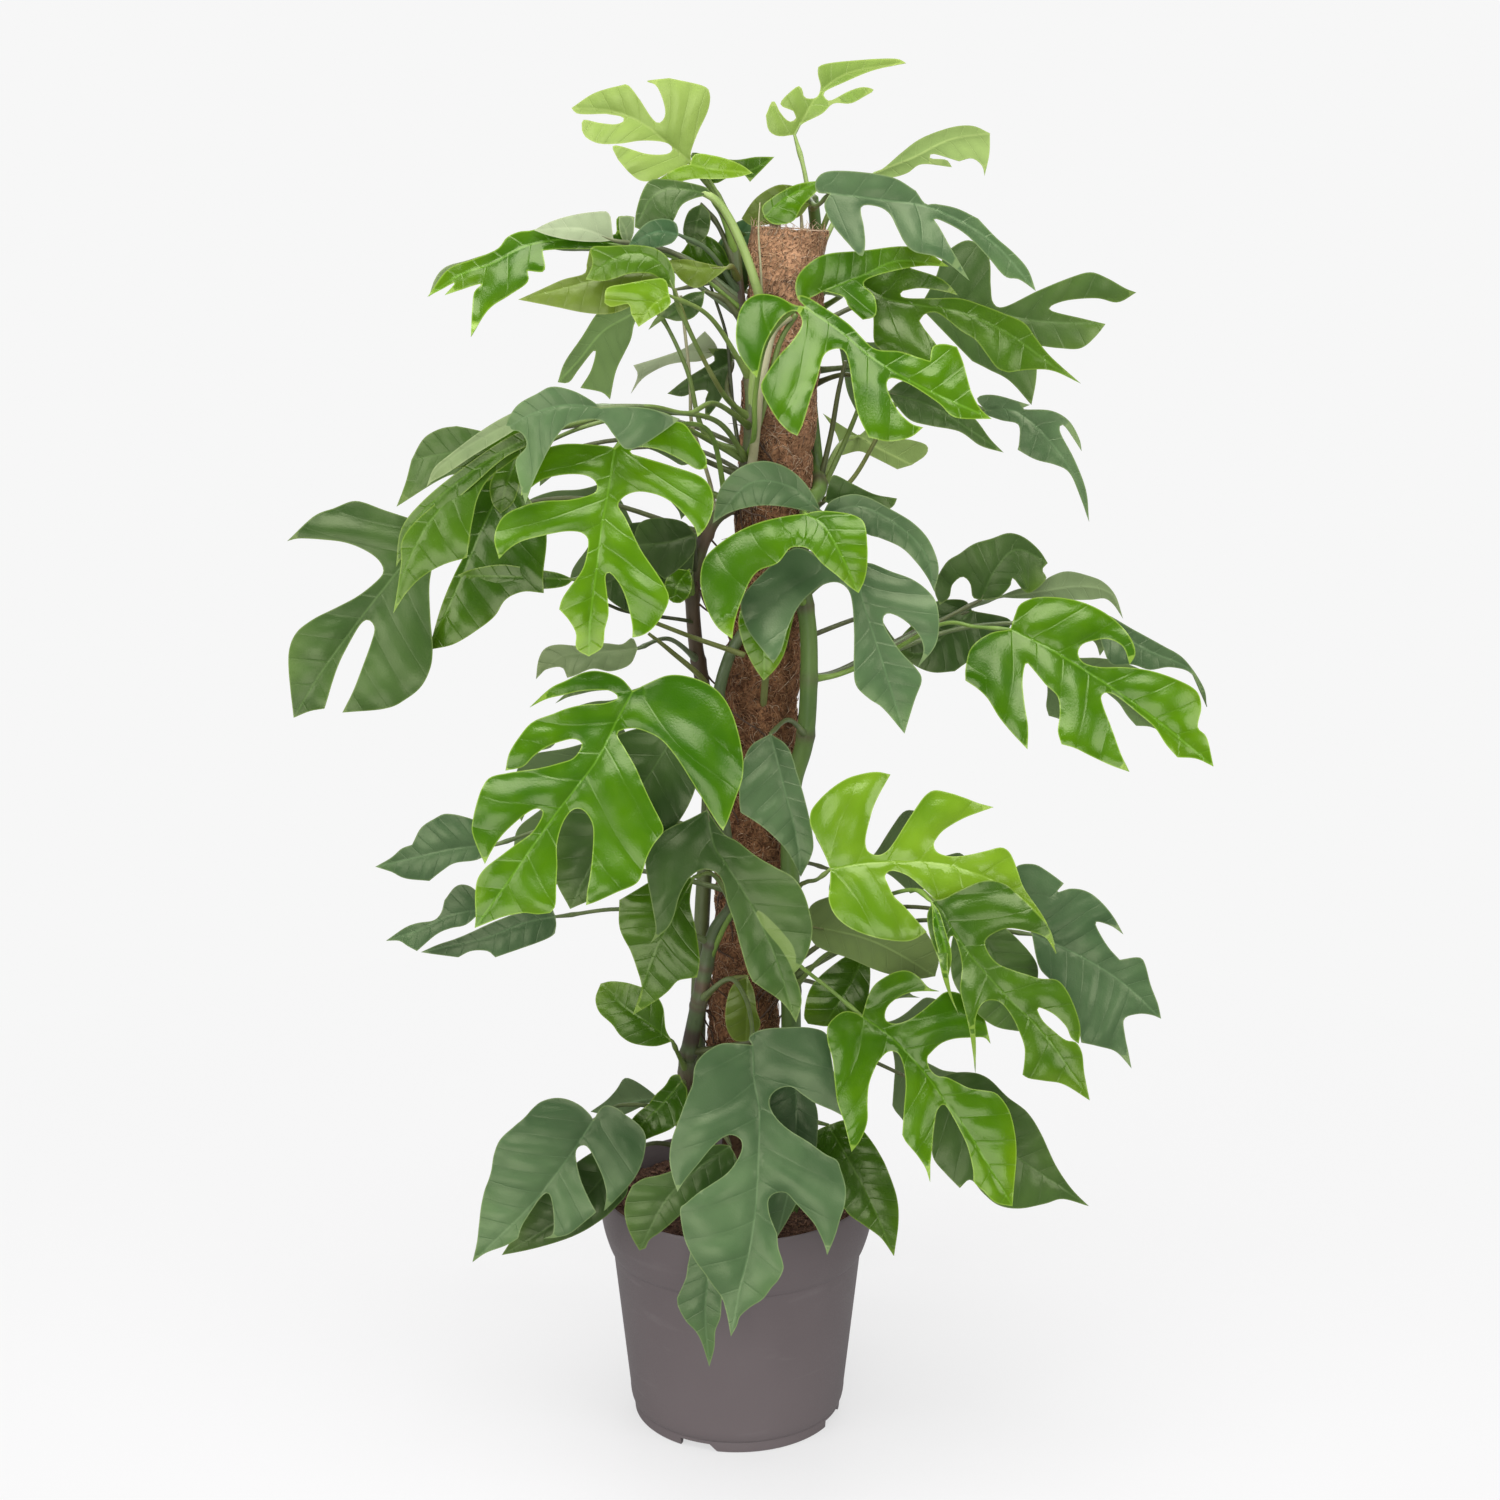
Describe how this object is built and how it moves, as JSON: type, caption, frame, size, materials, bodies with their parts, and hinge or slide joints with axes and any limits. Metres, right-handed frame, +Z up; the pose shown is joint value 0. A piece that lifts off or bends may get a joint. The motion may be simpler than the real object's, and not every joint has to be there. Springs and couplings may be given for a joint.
{
  "type": "mini monstera on a coir pole in a pot",
  "caption": "Split-leaved climbing aroid: leafy stems tied to a leaning coir pole, standing in soil in a round grey nursery pot with a deep rim band.",
  "frame": {"origin": "centre of the pot's flat base pad, on the surface that the pot stands on", "axes": "+Z up along the pot's axis, +X to the right as seen from the front, -Y towards the front of the plant"},
  "size_m": [0.6394, 0.4477, 1.0181],
  "materials": {
    "grey_plastic": "satin moulded plastic, taupe grey",
    "coir_soil": "loose red-brown coir and bark",
    "stake_wood": "rough brown wood",
    "coir": "matted coir fibre",
    "leaf_green": "satin green leaf and stem"
  },
  "bodies": {
    "root": {"pot": "grey_plastic", "soil": "coir_soil", "stake": "stake_wood", "coir_sleeve": "coir", "right_leafy_stem": "leaf_green", "front_leafy_stem": "leaf_green", "left_leafy_stem": "leaf_green", "back_leafy_stem": "leaf_green"}
  },
  "joints": []
}
